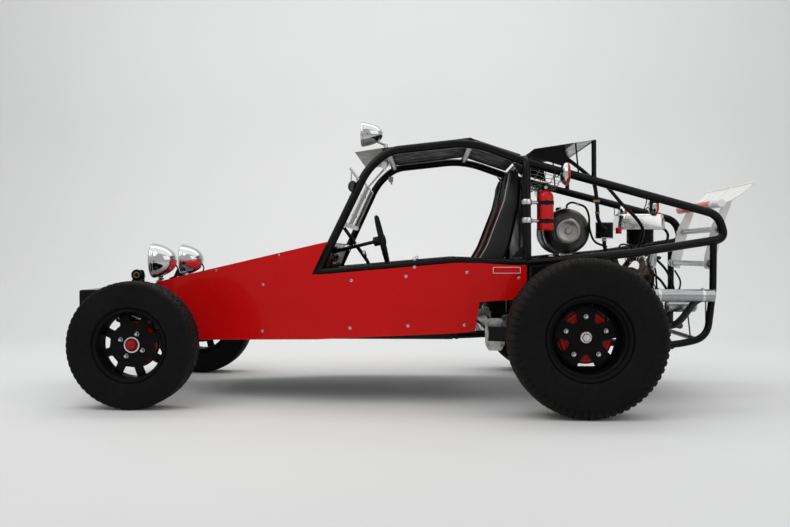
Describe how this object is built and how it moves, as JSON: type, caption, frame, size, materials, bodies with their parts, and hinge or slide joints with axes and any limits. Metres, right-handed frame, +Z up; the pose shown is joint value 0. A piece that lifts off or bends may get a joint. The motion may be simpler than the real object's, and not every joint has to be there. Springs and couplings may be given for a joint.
{
  "type": "sand rail dune buggy",
  "caption": "Open two-seat tube-framed sand rail with roll cage, rear air-cooled engine, rear wing, steered front wheels and wide rear tyres.",
  "frame": {"origin": "on the ground under the middle of the car's box", "axes": "-X forward, +Y to the car's right, +Z up"},
  "size_m": [3.704, 2.102, 1.513],
  "materials": {
    "black_paint": "gloss",
    "red_paint": "satin",
    "black_rubber": "matt",
    "tyre_black": "matt",
    "wheel_black": "satin",
    "drum_red": "satin",
    "chrome": "polished",
    "cast_alloy": "as cast",
    "polished_alloy": "polished",
    "plain_steel": "plain",
    "white_paint": "gloss",
    "dark_engine": "oiled",
    "seat_black": "satin",
    "clear_glass": "clear"
  },
  "bodies": {
    "chassis": {"roll_cage": "black_paint", "lower_frame": "black_paint", "engine_cage": "black_paint", "front_beam": "black_paint", "front_shock_left": "black_paint", "front_shock_right": "black_paint", "rear_shock_left": "black_paint", "rear_shock_right": "black_paint", "side_panel_left": "red_paint", "side_panel_right": "red_paint", "torsion_housing": "cast_alloy", "cowl_panel": "red_paint", "floor_pan": "black_paint", "dash_panel": "black_paint", "roof_panel": "black_paint", "windscreen": "clear_glass", "rear_deck": "black_paint", "front_bumper": "black_paint", "headlamp_left": "chrome", "headlamp_right": "chrome", "roof_lamp": "chrome", "tail_lamp_left": "chrome", "tail_lamp_right": "chrome", "brake_lamp_left": "chrome", "brake_lamp_right": "chrome", "wing": "white_paint", "wing_mount": "white_paint", "transaxle": "cast_alloy", "engine": "dark_engine", "fan_shroud": "black_paint", "intake": "polished_alloy", "exhaust": "plain_steel", "fuel_tank": "polished_alloy", "extinguisher": "red_paint", "seat_left": "seat_black", "seat_right": "seat_black", "steering_rack": "cast_alloy", "trailing_arm_left": "black_paint", "trailing_arm_right": "black_paint"},
    "steering_wheel": {"steering_wheel": "black_rubber"},
    "rack_bar": {"rack_bar": "plain_steel"},
    "knuckle_left": {"knuckle_left": "black_paint"},
    "tie_rod_left": {"tie_rod_left": "plain_steel"},
    "front_wheel_left": {"front_drum_left": "drum_red", "front_rim_left": "wheel_black", "front_tyre_left": "tyre_black"},
    "rear_wheel_left": {"rear_drum_left": "drum_red", "rear_rim_left": "wheel_black", "rear_tyre_left": "tyre_black", "axle_shaft_left": "black_rubber"},
    "knuckle_right": {"knuckle_right": "black_paint"},
    "tie_rod_right": {"tie_rod_right": "plain_steel"},
    "front_wheel_right": {"front_drum_right": "drum_red", "front_rim_right": "wheel_black", "front_tyre_right": "tyre_black"},
    "rear_wheel_right": {"rear_drum_right": "drum_red", "rear_rim_right": "wheel_black", "rear_tyre_right": "tyre_black", "axle_shaft_right": "black_rubber"}
  },
  "joints": [
    {"name": "steering_turn", "type": "hinge", "parent": "chassis", "child": "steering_wheel", "pos_m": [-0.161, -0.28, 0.868], "axis": [0.972, 0, 0.2351], "range_deg": [-270, 270]},
    {"name": "kingpin_left", "type": "hinge", "parent": "chassis", "child": "knuckle_left", "pos_m": [-1.416, -0.6, 0.326], "axis": [0, 0, 1], "range_deg": [-30, 30]},
    {"name": "tie_rod_pivot_left", "type": "hinge", "parent": "knuckle_left", "child": "tie_rod_left", "pos_m": [-1.306, -0.6, 0.385], "axis": [0, 0, 1], "range_deg": [-30, 30]},
    {"name": "front_spin_left", "type": "hinge", "parent": "knuckle_left", "child": "front_wheel_left", "pos_m": [-1.416, -0.73, 0.326], "axis": [0, 1, 0], "continuous": true},
    {"name": "kingpin_right", "type": "hinge", "parent": "chassis", "child": "knuckle_right", "pos_m": [-1.416, 0.6, 0.326], "axis": [0, 0, 1], "range_deg": [-30, 30]},
    {"name": "tie_rod_pivot_right", "type": "hinge", "parent": "knuckle_right", "child": "tie_rod_right", "pos_m": [-1.306, 0.6, 0.385], "axis": [0, 0, 1], "range_deg": [-30, 30]},
    {"name": "front_spin_right", "type": "hinge", "parent": "knuckle_right", "child": "front_wheel_right", "pos_m": [-1.416, 0.73, 0.326], "axis": [0, 1, 0], "continuous": true},
    {"name": "rack_slide", "type": "slide", "parent": "chassis", "child": "rack_bar", "axis": [0, 1, 0], "range_m": [-0.056, 0.056]},
    {"name": "rear_spin_left", "type": "hinge", "parent": "chassis", "child": "rear_wheel_left", "pos_m": [0.859, -0.915, 0.386], "axis": [0, 1, 0], "continuous": true},
    {"name": "rear_spin_right", "type": "hinge", "parent": "chassis", "child": "rear_wheel_right", "pos_m": [0.859, 0.915, 0.386], "axis": [0, 1, 0], "continuous": true}
  ],
  "couplings": [
    {"joint": "kingpin_left", "follows": "steering_turn", "ratio": 0.11111},
    {"joint": "tie_rod_pivot_left", "follows": "steering_turn", "ratio": -0.11111},
    {"joint": "kingpin_right", "follows": "steering_turn", "ratio": 0.11111},
    {"joint": "tie_rod_pivot_right", "follows": "steering_turn", "ratio": -0.11111},
    {"joint": "rack_slide", "follows": "steering_turn", "m_per_rad": 0.011671}
  ]
}
